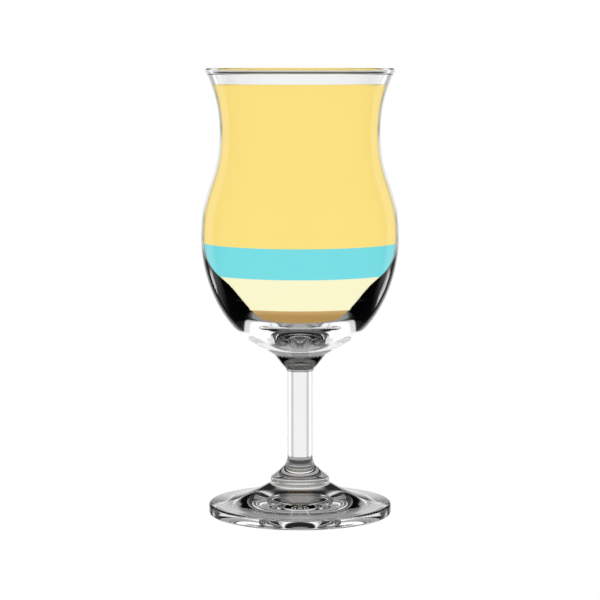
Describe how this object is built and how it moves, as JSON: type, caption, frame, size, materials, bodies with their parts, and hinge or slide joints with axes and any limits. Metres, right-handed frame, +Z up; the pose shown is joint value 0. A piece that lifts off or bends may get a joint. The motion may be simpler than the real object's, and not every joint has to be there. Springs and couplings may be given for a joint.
{
  "type": "white wine punch",
  "caption": "Footed tulip glass of white wine punch, filled in coloured layers to just under its rolled rim.",
  "frame": {"origin": "centre of the foot's underside, on the surface that the glass stands on", "axes": "+Z up along the stem's axis, about which every piece is round; +X and +Y have no preferred side"},
  "size_m": [0.0796, 0.0796, 0.18],
  "materials": {
    "clear_glass": "clear, fire polished",
    "amber_syrup": "clear amber liquid",
    "cream_punch": "pale cloudy liquid",
    "turquoise_punch": "turquoise liquid",
    "yellow_punch": "yellow liquid"
  },
  "bodies": {
    "root": {"glass": "clear_glass", "amber_layer": "amber_syrup", "cream_layer": "cream_punch", "turquoise_layer": "turquoise_punch", "yellow_layer": "yellow_punch"}
  },
  "joints": []
}
